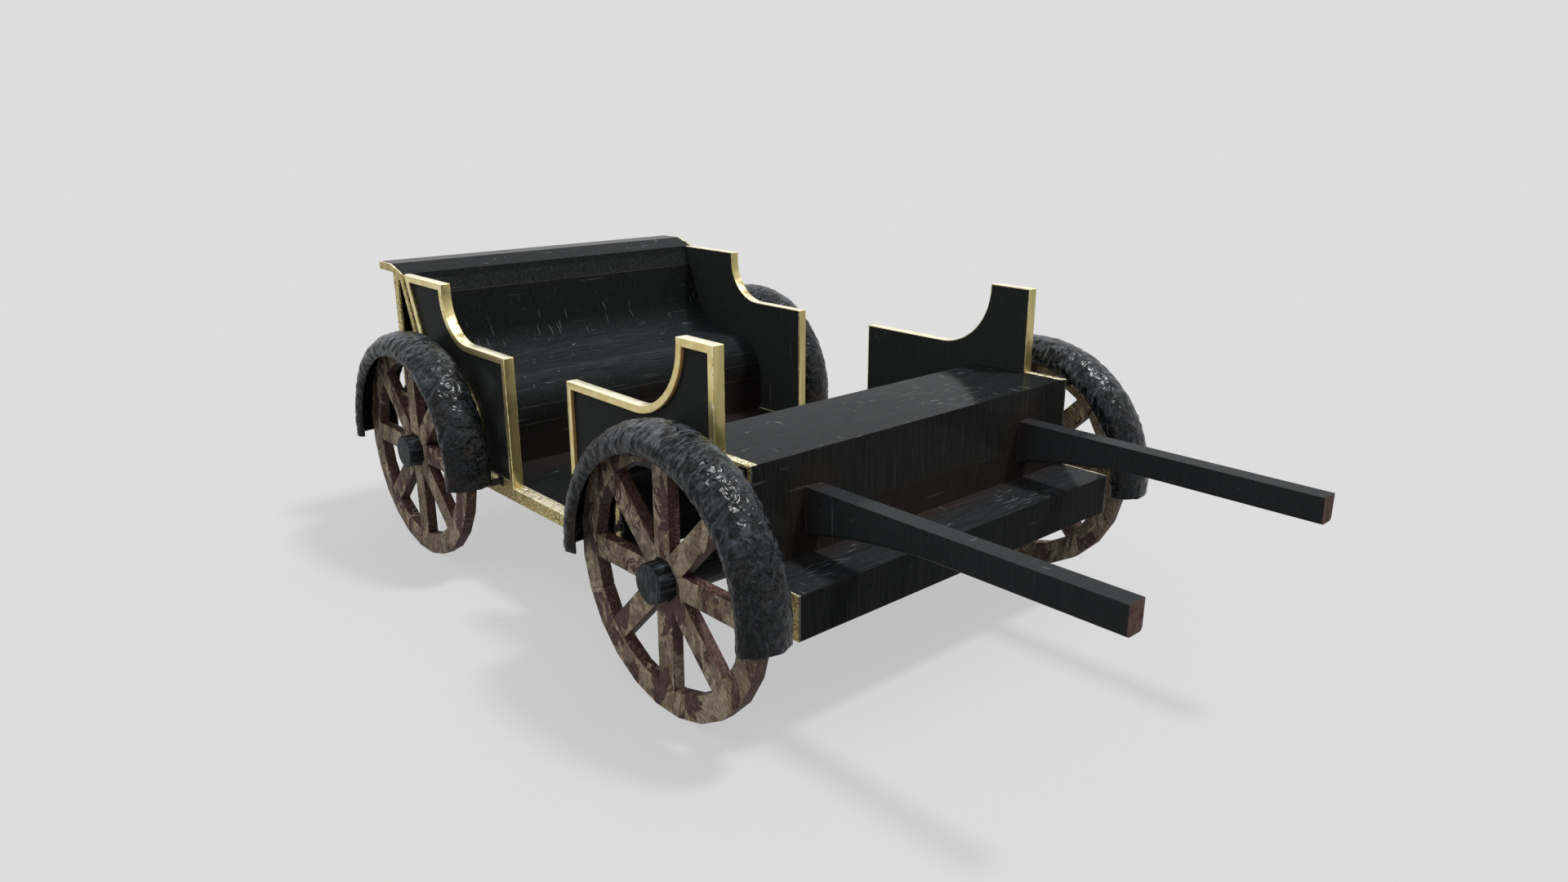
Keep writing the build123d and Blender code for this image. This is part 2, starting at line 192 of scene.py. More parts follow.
# A thin light line painted at the shafts' joint, as a painted highlight, and how strongly.
JOINT_HIGHLIGHT = (0.062, 0.055, 0.052, 1.0)
JOINT_HIGHLIGHT_STRENGTH = 0.8
END_GRAIN_DARK = (0.060, 0.036, 0.031, 1.0)
END_GRAIN_PALE = (0.135, 0.092, 0.078, 1.0)
END_GRAIN_ROUGHNESS = 0.75
END_BLUR = 0.0006
BAND_DARK = (0.0105, 0.0120, 0.0118, 1.0)
BAND_PALE = (0.0245, 0.0275, 0.0265, 1.0)
BAND_SLANT = (0.6, 0.0, 0.0)
BAND_BLUR = 0.0005
PLAIN_TONES = (LACQUER, LACQUER_STREAK)
BOX_TONES = ((0.0105, 0.0110, 0.0105, 1.0), (0.0235, 0.0235, 0.0220, 1.0))
SEAT_TONES = ((0.0048, 0.0055, 0.0054, 1.0), (0.0110, 0.0118, 0.0112, 1.0))
# Tones painted on what lies flat, each a painted sheen.
PLAIN_SHEEN = (0.019, 0.021, 0.022, 1.0)
TREAD_SHEEN = (0.026, 0.029, 0.031, 1.0)
TOP_SHEEN = (0.017, 0.0195, 0.0205, 1.0)
SEAT_SHEEN = (0.025, 0.0290, 0.0310, 1.0)
UPRIGHT_GRAIN = (210.0, 210.0, 6.0)
CROSS_GRAIN = (230.0, 7.0, 60.0)
SLANTING_GRAIN = (160.0, 150.0, 8.0)
RING_GRAIN = (3.0, 60.0, 34.0)
# Where the red-brown painted shade goes round the joints, and how far it reaches along X, Y and Z.
ROOT_SHADE = (0.5, 0.17, 0.20)
FOOT_SHADE = (0.16, 1.3, 0.17)
TREAD_SHADE = (0.11, 1.1, 0.1)
FLOOR_BOARD_SHADE = (0.25, 1.2, 0.1)
RISER_SHADE = (0.2, 1.3, 0.27)
RISER_SHADE_LEFT = 0.2
SEAT_LINES = (0.600, 0.676, 1.1485)
SEAT_LINE_WIDTHS = (0.0008, 0.0022)
# How wide the painted highlight line at the joint is.
JOINT_HIGHLIGHT_WIDTHS = (0.0012, 0.0034)
SEAT_BAND_FROM = 1.149
TREAD_SCRIBBLES = (((0.97, 0.40), (0.13, 0.17, 0.1)), ((0.95, -0.63), (0.1, 0.13, 0.1)))
TOP_SCRIBBLES = (((0.58, 0.26), (0.26, 0.22, 0.1)),)
SCRATCHES = (
    ((0.3, 0.5, 0.7), (150.0, 9.0, 50.0), 0.24, 0.02),
    ((0.2, 0.9, -0.5), (9.0, 150.0, 50.0), 0.24, 0.02),
    ((-0.4, 0.2, 2.1), (120.0, 7.0, 60.0), 0.24, 0.02),
    ((0.1, -0.2, 0.45), (7.0, 110.0, 45.0), 0.24, 0.02),
)
SCRIBBLES = (
    ((0.0, 0.0, 0.5), (230.0, 8.0, 14.0), 0.26, 0.25),
    ((0.0, 0.0, 1.1), (230.0, 7.0, 14.0), 0.26, 0.2),
    ((0.0, 0.0, 1.9), (230.0, 7.0, 14.0), 0.26, 0.2),
    ((0.0, 0.0, 2.7), (230.0, 7.0, 14.0), 0.26, 0.2),
)
SCRAPES = (
    ((0.55, 0.0, 0.0), (5.0, 210.0, 8.0), 0.28, 0.03),
    ((0.85, 0.0, 0.0), (5.0, 210.0, 9.0), 0.28, 0.02),
    ((1.25, 0.0, 0.0), (5.0, 210.0, 9.0), 0.28, 0.02),
)
HAIRLINES = (
    ((0.4, 0.2, 0.9), (240.0, 1.6, 26.0), 0.16, 0.4),
    ((-0.3, 0.8, 0.3), (26.0, 220.0, 2.0), 0.16, 0.4),
)


def times(tree, product, *others):
    """The product of some values."""
    for other in others:
        product = reckon(tree, "MULTIPLY", product, other)
    return product


def blend(tree, share, first, second):
    """Mixes two values by a share from 0 to 1."""
    return put(tree, "Mix", {0: share, 2: first, 3: second}).outputs[0]


def blend_colour(tree, share, first, second):
    """Mixes two colours by a share from 0 to 1."""
    return put(tree, "Mix", {0: share, 6: first, 7: second}, data_type="RGBA").outputs[2]


def mapped(tree, place, shift=(0.0, 0.0, 0.0), turn=(0.0, 0.0, 0.0), stretch=(1.0, 1.0, 1.0)):
    """A place that is stretched, turned and then shifted."""
    inputs = {"Vector": place, "Location": shift, "Rotation": turn, "Scale": stretch}
    return put(tree, "Mapping", inputs).outputs[0]


def cloudy(tree, place, scale, detail, roughness=0.5, distortion=0.0):
    """A noise's height, from 0 to 1, whose lumps come about as often in a metre as its scale says."""
    inputs = {"Vector": place, "Scale": scale, "Detail": detail, "Roughness": roughness,
              "Distortion": distortion}
    return put(tree, "TexNoise", inputs).outputs["Fac"]


def bend(tree, place, scale, detail, reach):
    """Sways a place by a noise, so that straight lines on it bend."""
    sway = put(tree, "TexNoise", {"Vector": place, "Scale": scale, "Detail": detail}).outputs["Color"]
    sway = put(tree, "VectorMath", {0: sway, "Scale": reach}, operation="SCALE").outputs[0]
    return put(tree, "VectorMath", {0: place, 1: sway}, operation="ADD").outputs[0]


def new_group(name, places, results):
    """Starts a node group that makes values out of places, and gives its tree and its places."""
    tree = bpy.data.node_groups.new(name, "ShaderNodeTree")
    for label in places:
        tree.interface.new_socket(label, in_out="INPUT", socket_type="NodeSocketVector")
    for label in results:
        tree.interface.new_socket(label, in_out="OUTPUT", socket_type="NodeSocketFloat")
    return tree, tree.nodes.new("NodeGroupInput").outputs


def close_group(tree, results):
    """Links a node group's results to its outputs."""
    set_inputs(tree, tree.nodes.new("NodeGroupOutput"), results)


def use_group(tree, name, inputs):
    """Places a node group in a material and gives its results."""
    return put(tree, "Group", inputs, node_tree=bpy.data.node_groups[name]).outputs


def grain_group():
    """Grain: long fine lines, from a noise that repeats as often each way as its stretch says."""
    tree, given = new_group("grain", ("Place", "Stretch"), ("Line", "Cloud"))
    stretched = {0: given["Place"], 1: given["Stretch"]}
    stretched = put(tree, "VectorMath", stretched, operation="MULTIPLY").outputs[0]
    line = cloudy(tree, stretched, 1.0, detail=6.0, roughness=0.65, distortion=0.3)
    cloud = cloudy(tree, given["Place"], 5.0, detail=5.0, roughness=0.6)
    close_group(tree, {"Line": line, "Cloud": cloud})


def strokes(tree, place, kinds):
    """Sparse straight strokes, each at the heart of a long thin cell.

    A kind of stroke has a turn, how often its cells repeat each way, how much of a cell a stroke
    fills, and the share of the cells that hold one.
    """
    found = []
    for turn, stretch, reach, share in kinds:
        lengthwise = mapped(tree, place, turn=turn, stretch=stretch)
        cell = put(tree, "TexVoronoi", {"Vector": lengthwise, "Scale": 1.0, "Randomness": 1.0}).outputs
        chosen = reckon(tree, "LESS_THAN", split(tree, cell["Color"])["X"], share)
        heart = spread(tree, cell["Distance"], 0.4 * reach, reach, 1.0, 0.0)
        found.append(times(tree, chosen, heart))
    return most(tree, *found)


def wear_group():
    """Wear on lacquer: short scratches, scribbles, slanting scrapes, long hairlines, specks of dust."""
    marks = ("Scratch", "Scribble", "Scrape", "Hairline", "Dust")
    tree, given = new_group("wear", ("Place",), marks)
    place = given["Place"]
    bent = bend(tree, place, 14.0, 1.0, 0.03)
    speck = put(tree, "TexVoronoi", {"Vector": bent, "Scale": 45.0, "Randomness": 1.0}).outputs["Distance"]
    speck = spread(tree, speck, 0.05, 0.10, 1.0, 0.0)
    fall = spread(tree, cloudy(tree, place, 5.5, detail=3.0), 0.50, 0.70, 0.0, 0.6)
    close_group(tree, {
        "Scratch": strokes(tree, bent, SCRATCHES),
        "Scribble": strokes(tree, bent, SCRIBBLES),
        "Scrape": strokes(tree, bent, SCRAPES),
        "Hairline": strokes(tree, place, HAIRLINES),
        "Dust": times(tree, speck, fall),
    })


def new_paint(name):
    """Starts a material and gives it, its tree, its shader and its place on the object."""
    paint = bpy.data.materials.new(name)
    paint.use_nodes = True
    tree = paint.node_tree
    tree.nodes.clear()
    shader = put(tree, "BsdfPrincipled")
    put(tree, "OutputMaterial", {"Surface": shader.outputs[0]})
    place = put(tree, "TexCoord").outputs["Object"]
    return paint, tree, shader, place


def looking(tree, normal="Normal"):
    """Which way a surface looks, in its parts along X, Y and Z."""
    return split(tree, put(tree, "NewGeometry").outputs[normal])


def facing(tree, axis):
    """How squarely a surface looks along an axis, either way."""
    return reckon(tree, "ABSOLUTE", looking(tree)[axis])


def raised(tree, height, depth):
    """A shader's normal over a relief that is as deep as stated, in metres."""
    return put(tree, "Bump", {"Strength": 1.0, "Distance": depth, "Height": height}).outputs[0]


def near(tree, place, spots):
    """How near a place is to any of some spots, each a centre and its reach along X, Y and Z."""
    shares = []
    for centre, reach in spots:
        away = put(tree, "VectorMath", {0: place, 1: centre}, operation="SUBTRACT").outputs[0]
        away = put(tree, "VectorMath", {0: away, 1: reach}, operation="DIVIDE").outputs[0]
        away = put(tree, "VectorMath", {0: away}, operation="LENGTH").outputs["Value"]
        shares.append(spread(tree, away, 0.25, 1.0, 1.0, 0.0))
    return most(tree, *shares)


def thin_line(tree, value, level, full, width, strength):
    """The share of a thin line where a value is near a level: full close by, and none past its width."""
    off = reckon(tree, "ABSOLUTE", reckon(tree, "SUBTRACT", value, level))
    return times(tree, spread(tree, off, full, width, 1.0, 0.0), strength)


def lacquer(name, painted_shading=(), sheen=None, scribbled=(), tones=PLAIN_TONES, grained=1.0, scraped=0.1,
            lines=(), pale_from=None, joint_at=None, bare_from=None):
    """Black lacquer.

    It is painted red-brown at the spots given, as painted shade where parts meet, and scribbled on at
    others. What lies flat takes a painted sheen in the tone given for it. The tones are the ground's
    and the grain's. Grained and scraped say how plainly the grain and the scrapes show on standing
    faces. The lines are the heights of thin brown lines along the board, and the board is paler above
    pale_from. Along X, joint_at is where a thin light line is painted, as a painted highlight, and
    bare_from is where a sawn end starts.
    """
    paint, tree, shader, place = new_paint(name)
    spot = split(tree, place)
    lying = spread(tree, facing(tree, "Z"), 0.6, 0.8)
    upright = use_group(tree, "grain", {"Place": place, "Stretch": UPRIGHT_GRAIN})
    across = use_group(tree, "grain", {"Place": place, "Stretch": CROSS_GRAIN})
    line = blend(tree, lying, upright["Line"], across["Line"])
    plain = spread(tree, lying, 0.0, 1.0, 1.0 - grained, 0.0)
    colour = blend_colour(tree, blend(tree, plain, spread(tree, line, 0.44, 0.70), 0.5), *tones)
    # Painted sheen: a paler tone on what looks up, broken by the grain.
    if sheen is not None:
        flat = spread(tree, looking(tree)["Z"], 0.35, 0.95)
        sheen_share = times(tree, flat, spread(tree, line, 0.40, 0.60, 0.25, 1.0))
        colour = blend_colour(tree, sheen_share, colour, sheen)
    if pale_from is not None:
        slanting = mapped(tree, place, turn=BAND_SLANT)
        slanting = use_group(tree, "grain", {"Place": slanting, "Stretch": SLANTING_GRAIN})["Line"]
        band = blend_colour(tree, spread(tree, slanting, 0.42, 0.66), BAND_DARK, BAND_PALE)
        above = spread(tree, spot["Z"], pale_from - BAND_BLUR, pale_from + BAND_BLUR)
        colour = blend_colour(tree, above, colour, band)
    # Painted shade: a red-brown tint near the spots where parts meet.
    if painted_shading:
        patchy = spread(tree, upright["Cloud"], 0.3, 0.6, 0.5, 1.0)
        brown = times(tree, near(tree, place, painted_shading), patchy, LACQUER_CORNER_SHADE_STRENGTH)
        colour = blend_colour(tree, brown, colour, LACQUER_CORNER_SHADE)
    for height in lines:
        broken = spread(tree, across["Cloud"], 0.35, 0.55, 0.3, 0.8)
        drawn = thin_line(tree, spot["Z"], height, *SEAT_LINE_WIDTHS, broken)
        colour = blend_colour(tree, drawn, colour, LACQUER_LINE)
    # Painted highlight: a thin light line at the joint.
    if joint_at is not None:
        drawn = thin_line(tree, spot["X"], joint_at, *JOINT_HIGHLIGHT_WIDTHS, JOINT_HIGHLIGHT_STRENGTH)
        colour = blend_colour(tree, drawn, colour, JOINT_HIGHLIGHT)
    wear = use_group(tree, "wear", {"Place": place})
    scratch = times(tree, wear["Scratch"], spread(tree, lying, 0.0, 1.0, 0.1, 1.0))
    scrape = times(tree, wear["Scrape"], spread(tree, lying, 0.0, 1.0, scraped, 0.0))
    dust = times(tree, wear["Dust"], spread(tree, lying, 0.0, 1.0, 0.06, 0.8))
    patchy = spread(tree, across["Cloud"], 0.3, 0.7, 0.2, 0.8)
    marks = times(tree, most(tree, scratch, scrape, dust), patchy)
    marks = most(tree, marks, times(tree, wear["Hairline"], HAIRLINE_STRENGTH))
    if scribbled:
        here = spread(tree, near(tree, place, scribbled), 0.0, 0.4)
        marks = most(tree, marks, times(tree, wear["Scribble"], here, SCRIBBLE_STRENGTH))
    colour = blend_colour(tree, marks, colour, SCRATCHED)
    rough = spread(tree, line, 0.3, 0.7, *LACQUER_ROUGHNESS)
    if bare_from is not None:
        bare = spread(tree, spot["X"], bare_from, bare_from + END_BLUR)
        rings = use_group(tree, "grain", {"Place": place, "Stretch": RING_GRAIN})["Line"]
        wood = blend_colour(tree, spread(tree, rings, 0.35, 0.65), END_GRAIN_DARK, END_GRAIN_PALE)
        colour = blend_colour(tree, bare, colour, wood)
        rough = blend(tree, bare, rough, END_GRAIN_ROUGHNESS)
    relief = reckon(tree, "SUBTRACT", times(tree, line, 0.35), marks)
    set_inputs(tree, shader, {
        "Base Color": colour,
        "Roughness": reckon(tree, "ADD", rough, times(tree, marks, 0.3)),
        "Specular IOR Level": LACQUER_GLOSS,
        "Normal": raised(tree, relief, LACQUER_RELIEF),
    })
    return paint


def coat(node, paint):
    """Gives a CAD piece its finish."""
    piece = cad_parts[node]
    piece.data.materials.clear()
    piece.data.materials.append(paint)


grain_group()
wear_group()
box_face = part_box("box_front")[1][0]
box_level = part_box("box_top")[1][2]
tread_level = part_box("footboard_tread")[1][2]
floor_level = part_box("floor_board")[1][2]
riser_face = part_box("rear_seat")[1][0]
shaft_low, shaft_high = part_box("shaft_left")
shaft_side = (shaft_low[1] + shaft_high[1]) / 2
shaft_level = (shaft_low[2] + shaft_high[2]) / 2
roots = [(box_face, sign * shaft_side, shaft_level) for sign in SIDES.values()]
foot = (box_face, 0.0, tread_level)
riser_foot = (riser_face, RISER_SHADE_LEFT, floor_level)
plain_lacquer = lacquer("plain_lacquer", sheen=PLAIN_SHEEN)
for board in ("rear_wall", "front_seat", "footboard_apron", "front_bolster", "rear_bolster", "rear_cornice"):
    coat(board, plain_lacquer)
# The box front takes the red-brown painted shade round the shafts' roots and above the tread.
box_shade = [(root, ROOT_SHADE) for root in roots] + [(foot, FOOT_SHADE)]
coat("box_front", lacquer("box_lacquer", box_shade, tones=BOX_TONES))
scribbles = [((x, y, tread_level), reach) for (x, y), reach in TREAD_SCRIBBLES]
coat("footboard_tread", lacquer("tread_lacquer", [(foot, TREAD_SHADE)], TREAD_SHEEN, scribbles))
scribbles = [((x, y, box_level), reach) for (x, y), reach in TOP_SCRIBBLES]
coat("box_top", lacquer("top_lacquer", sheen=TOP_SHEEN, scribbled=scribbles))
coat("floor_board", lacquer("floor_lacquer", [((riser_face, 0.0, floor_level), FLOOR_BOARD_SHADE)]))
seat_lacquer = lacquer("seat_lacquer", [(riser_foot, RISER_SHADE)], SEAT_SHEEN, tones=SEAT_TONES, grained=0.6,
                       scraped=1.0, lines=SEAT_LINES, pale_from=SEAT_BAND_FROM)
coat("rear_seat", seat_lacquer)

# The shafts: straight poles of the same lacquered timber, sawn off square. The bare brown wood shows
# on the sawn ends. Where each pole enters the box a red-brown tint is painted on its lacquer as
# painted shade, with a thin light line along the joint as a painted highlight.
SHAFT_TONES = ((0.0215, 0.0240, 0.0250, 1.0), (0.0400, 0.0430, 0.0440, 1.0))
# The painted sheen on the shafts' upper faces.
SHAFT_SHEEN = (0.024, 0.027, 0.029, 1.0)
# How far the red-brown painted shade reaches round each shaft's root.
SHAFT_ROOT_SHADE = (0.09, 0.3, 0.2)
# How far ahead of the box face the painted highlight line runs.
JOINT_HIGHLIGHT_AHEAD = 0.002
SAWN_FACE_DEPTH = 0.001

shaft_shade = [(root, SHAFT_ROOT_SHADE) for root in roots]
shaft_lacquer = lacquer("shaft_lacquer", shaft_shade, SHAFT_SHEEN, tones=SHAFT_TONES, grained=0.45,
                        joint_at=box_face + JOINT_HIGHLIGHT_AHEAD, bare_from=shaft_high[0] - SAWN_FACE_DEPTH)
for side in SIDES:
    coat(f"shaft_{side}", shaft_lacquer)

# The gilding: brass leaf on the frames' bars, burnished by hand, so that it mirrors in slow waves,
# and rough leaf on the thin edges. What looks forwards is painted an olive brown, as painted shade;
# what looks up is painted pale, as a painted highlight; and the hollow curves carry painted
# reflections in slanting light and dark streaks. Each frame stands round a lacquered board, and its
# bars' edges are eased by a few strokes of the plane.
GILT = (0.88, 0.76, 0.40, 1.0)
GILT_RUBBED = (0.78, 0.64, 0.27, 1.0)
# A pale cream painted highlight for what looks up.
GILT_HIGHLIGHT = (0.98, 0.93, 0.70, 1.0)
GILT_METAL = 0.8
GILT_ROUGHNESS = (0.36, 0.26)
GILT_RELIEF = 0.006
# Olive painted shade for what looks forwards.
OLIVE_SHADE = (0.42, 0.36, 0.15, 1.0)
OLIVE_SHADE_PALE = (0.55, 0.45, 0.20, 1.0)
# Dark and pale painted reflections for the hollow curves.
HOLLOW_REFLECTION_DARK = (0.36, 0.29, 0.085, 1.0)
HOLLOW_REFLECTION_PALE = (1.0, 0.92, 0.60, 1.0)
RETURN_BROWN = (0.62, 0.36, 0.13, 1.0)
RETURN_METAL = 0.15
RETURN_SHARE = {"front": 0.97, "rear": 0.30}
LEAF_DARK = (0.24, 0.175, 0.040, 1.0)
LEAF_PALE = (0.87, 0.75, 0.35, 1.0)
LEAF_CRACK = (0.30, 0.22, 0.07, 1.0)
LEAF_ROUGHNESS = 0.34
LEAF_RELIEF = 0.006
# The panels' lacquer is painted lighter than the other boards', as painted light for the light the panels
# lack.
PANEL_LIGHTENED_TONES = ((0.0230, 0.0254, 0.0250, 1.0), (0.0390, 0.0420, 0.0410, 1.0))
# Where the front edgings are painted black as painted shade, in the shadow under the panel.
NOSE_MARGIN = 0.031
NOSE_HEIGHTS = (0.55, 0.85)
FRAME_EASE = 0.0035
EDGING_EASE = 0.0012
SILL_EASE = 0.0025
WELD = 1e-5
FLAT_WITHIN = radians(0.6)
EASED_FROM = radians(25)


def total(tree, result, *others):
    """The sum of some values."""
    for other in others:
        result = reckon(tree, "ADD", result, other)
    return result


def between(tree, value, low, high):
    """1 where a value lies between two bounds, and else 0."""
    above = reckon(tree, "GREATER_THAN", value, low)
    return times(tree, above, reckon(tree, "LESS_THAN", value, high))


def gilding():
    """Burnished leaf: olive painted shade in front, a pale painted highlight on top, painted reflections
    swirled in the hollow curves, brown on the returns inside a frame.
    """
    paint, tree, shader, place = new_paint("gilding")
    looks = looking(tree)
    wave = cloudy(tree, place, 7.0, detail=2.0, roughness=0.4)
    swirl = cloudy(tree, place, 17.0, detail=1.0, distortion=0.8)
    fine = cloudy(tree, place, 240.0, detail=2.0)
    colour = blend_colour(tree, spread(tree, swirl, 0.38, 0.60), GILT_RUBBED, GILT)
    # Painted highlight: what looks up is painted pale.
    colour = blend_colour(tree, spread(tree, looks["Z"], 0.5, 0.95), colour, GILT_HIGHLIGHT)
    # Painted shade: what looks forwards is painted olive brown.
    band = cloudy(tree, mapped(tree, place, stretch=(9.0, 22.0, 2.2)), 1.0, detail=1.0)
    forward_shade = blend_colour(tree, spread(tree, band, 0.5, 0.62), OLIVE_SHADE, OLIVE_SHADE_PALE)
    colour = blend_colour(tree, spread(tree, looks["X"], 0.75, 0.97), colour, forward_shade)
    # Painted reflections: slanting light and dark streaks on the hollow curves.
    slanting = mapped(tree, place, turn=(0.0, 0.0, 0.7), stretch=(15.0, 9.0, 30.0))
    slanting = spread(tree, cloudy(tree, slanting, 1.0, detail=1.0, distortion=0.6), 0.43, 0.55)
    tone = blend_colour(tree, slanting, HOLLOW_REFLECTION_DARK, HOLLOW_REFLECTION_PALE)
    hollow_reflection = times(tree, spread(tree, looks["X"], 0.2, 0.4), spread(tree, looks["X"], 0.75, 0.97, 0.85, 0.0))
    colour = blend_colour(tree, hollow_reflection, colour, tone)
    along = split(tree, place)["X"]
    inner = []
    for end, share in RETURN_SHARE.items():
        low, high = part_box(f"{end}_panel_frame_right")
        inner.append(between(tree, along, low[0], low[0] + share * (high[0] - low[0])))
    upright = reckon(tree, "LESS_THAN", looks["Z"], 0.12)
    inner = times(tree, most(tree, *inner), spread(tree, looks["X"], 0.35, 0.55), upright)
    colour = blend_colour(tree, inner, colour, RETURN_BROWN)
    relief = total(tree, wave, times(tree, swirl, 0.2), times(tree, fine, 0.008))
    set_inputs(tree, shader, {
        "Base Color": colour,
        "Metallic": spread(tree, inner, 0.0, 1.0, GILT_METAL, RETURN_METAL),
        "Roughness": spread(tree, swirl, 0.3, 0.7, *GILT_ROUGHNESS),
        "Normal": raised(tree, relief, GILT_RELIEF),
    })
    return paint


def leaf(name, shade_box=None):
    """Rough leaf on the thin edges: crumpled flakes with dark cracks, painted pale on top as a painted
    highlight.

    Where a box is given, what lies inside it or looks forwards is painted black instead; inside the box this
    is painted shade, for the shadow under the panel.
    """
    paint, tree, shader, place = new_paint(name)
    looks = looking(tree)
    bent = cloudy(tree, place, 42.0, detail=5.0, roughness=0.7, distortion=1.6)
    crack = put(tree, "TexVoronoi", {"Vector": place, "Scale": 90.0}, feature="DISTANCE_TO_EDGE").outputs[0]
    crack = spread(tree, crack, 0.02, 0.14)
    tone = blend_colour(tree, spread(tree, bent, 0.42, 0.54), LEAF_DARK, LEAF_PALE)
    colour = blend_colour(tree, crack, LEAF_CRACK, tone)
    # Painted highlight: smooth-looking pale patches on what looks up.
    smooth = times(tree, spread(tree, looks["Z"], 0.6, 0.95), spread(tree, bent, 0.40, 0.50))
    colour = blend_colour(tree, smooth, colour, GILT_HIGHLIGHT)
    metal = 1.0
    # Painted shade: black inside the box, in the shadow under the panel.
    if shade_box is not None:
        spot = split(tree, place)
        inside = [between(tree, spot[axis], low, high) for axis, (low, high) in shade_box.items()]
        black = most(tree, times(tree, *inside), reckon(tree, "GREATER_THAN", looks["X"], 0.8))
        colour = blend_colour(tree, black, colour, LACQUER_STREAK)
        metal = reckon(tree, "SUBTRACT", 1.0, black)
    set_inputs(tree, shader, {
        "Base Color": colour,
        "Metallic": metal,
        "Roughness": LEAF_ROUGHNESS,
        "Normal": raised(tree, total(tree, bent, times(tree, crack, 0.3)), LEAF_RELIEF),
    })
    return paint


def eased(node, paint, width, body="carriage", segments=2):
    """Stands a copy of a CAD piece in its place, with its edges eased."""
    form = bmesh.new()
    form.from_mesh(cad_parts[node].data)
    bmesh.ops.remove_doubles(form, verts=form.verts, dist=WELD)
    bmesh.ops.dissolve_limit(form, angle_limit=FLAT_WITHIN, verts=form.verts, edges=form.edges)
    for face in form.faces:
        face.smooth = True
    piece = as_object("finished_" + node, form, paint)
    ease = piece.modifiers.new("eased edges", "BEVEL")
    ease.width = width
    ease.segments = segments
    ease.limit_method = "ANGLE"
    ease.angle_limit = EASED_FROM
    ease.use_clamp_overlap = False
    ease.harden_normals = True
    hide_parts(node)
    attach(piece, body)


gilt = gilding()
gilt_leaf = leaf("gilt_leaf")
seat_low, seat_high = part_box("front_seat")
nose_span = (seat_low[0] + NOSE_MARGIN, seat_high[0] - NOSE_MARGIN)
# The front edgings are painted black in the panel's shadow, as painted shade.
nose_leaf = leaf("nose_leaf", {"X": nose_span, "Z": NOSE_HEIGHTS})
edging_leaf = {"front": nose_leaf, "rear": gilt_leaf}
# The panel boards take the lighter tones, as painted light.
panel_lacquer = lacquer("panel_lacquer", tones=PANEL_LIGHTENED_TONES, grained=0.5)
for end in ENDS:
    for side in SIDES:
        eased(f"{end}_panel_frame_{side}", gilt, FRAME_EASE, segments=3)
        eased(f"{end}_edging_{side}", edging_leaf[end], EDGING_EASE)
        coat(f"{end}_panel_board_{side}", panel_lacquer)
for side in SIDES:
    eased(f"sill_{side}", gilt_leaf, SILL_EASE)

# The axles and naves: turned timber under a dark grey-blue paint that has sunk into the grain, so
# that it shows as long furrows. Iron straps, blackened at the forge, hold each axle under its bed.
PAINT_DARK = (0.0045, 0.0060, 0.0070, 1.0)
PAINT_PALE = (0.090, 0.112, 0.128, 1.0)
PAINT_BROWN = (0.05, 0.04, 0.03, 1.0)
PAINT_ROUGHNESS = 0.5
PAINT_GLOSS = 0.2
PAINT_RELIEF = 0.008
AXLE_GRAIN = (85.0, 5.0, 85.0)
AXLE_END_GRAIN = (120.0, 50.0, 17.0)
AXLE_EASE = 0.004
IRON_BLACK = (0.016, 0.016, 0.017, 1.0)
IRON_RUST = (0.06, 0.04, 0.03, 1.0)
IRON_METAL = 0.6
IRON_ROUGHNESS = (0.4, 0.65)
IRON_RELIEF = 0.003


def furrowed():
    """Dark paint in open grain along the axle."""
    paint, tree, shader, place = new_paint("furrowed_paint")
    ended = spread(tree, facing(tree, "Y"), 0.6, 0.8)
    along = use_group(tree, "grain", {"Place": place, "Stretch": AXLE_GRAIN})
    ends = use_group(tree, "grain", {"Place": place, "Stretch": AXLE_END_GRAIN})
    line = blend(tree, ended, along["Line"], ends["Line"])
    colour = blend_colour(tree, spread(tree, line, 0.50, 0.62), PAINT_DARK, PAINT_PALE)
    colour = blend_colour(tree, spread(tree, along["Cloud"], 0.55, 0.75, 0.0, 0.5), colour, PAINT_BROWN)
    set_inputs(tree, shader, {
        "Base Color": colour,
        "Roughness": PAINT_ROUGHNESS,
        "Specular IOR Level": PAINT_GLOSS,
        "Normal": raised(tree, line, PAINT_RELIEF),
    })
    return paint


def black_iron():
    """Forged iron, blackened and a little rusted."""
    paint, tree, shader, place = new_paint("black_iron")
    cloud = cloudy(tree, place, 24.0, detail=6.0, roughness=0.65)
    set_inputs(tree, shader, {
        "Base Color": blend_colour(tree, spread(tree, cloud, 0.4, 0.7), IRON_BLACK, IRON_RUST),
        "Metallic": IRON_METAL,
        "Roughness": spread(tree, cloud, 0.3, 0.7, *IRON_ROUGHNESS),
        "Normal": raised(tree, cloud, IRON_RELIEF),
    })
    return paint


axle_paint = furrowed()
iron = black_iron()
for end in ENDS:
    eased(f"{end}_axle", axle_paint, AXLE_EASE)
    coat(f"{end}_axle_straps", iron)

# The wheels: sawn felloes and split spokes of weathered timber, stained in blotches, tan where it
# was rubbed and red-brown where the stain sits. The rims and the spokes' edges take more of the
# red-brown, as painted shade. The grain runs in curls round the knots. The turned naves have the
# axles' paint.
TIMBER_PALE = (0.47, 0.39, 0.28, 1.0)
TIMBER_TAN = (0.260, 0.205, 0.145, 1.0)
TIMBER_RED = (0.115, 0.064, 0.055, 1.0)
TIMBER_DARK = (0.066, 0.036, 0.031, 1.0)
TIMBER_ROUGHNESS = (0.78, 0.6)
TIMBER_GLOSS = 0.2
TIMBER_RELIEF = 0.0022
TIMBER_STEPS = (1.0, 0.4, 0.7)
END_STEP = 1.7
SIDE_STEP = 0.9
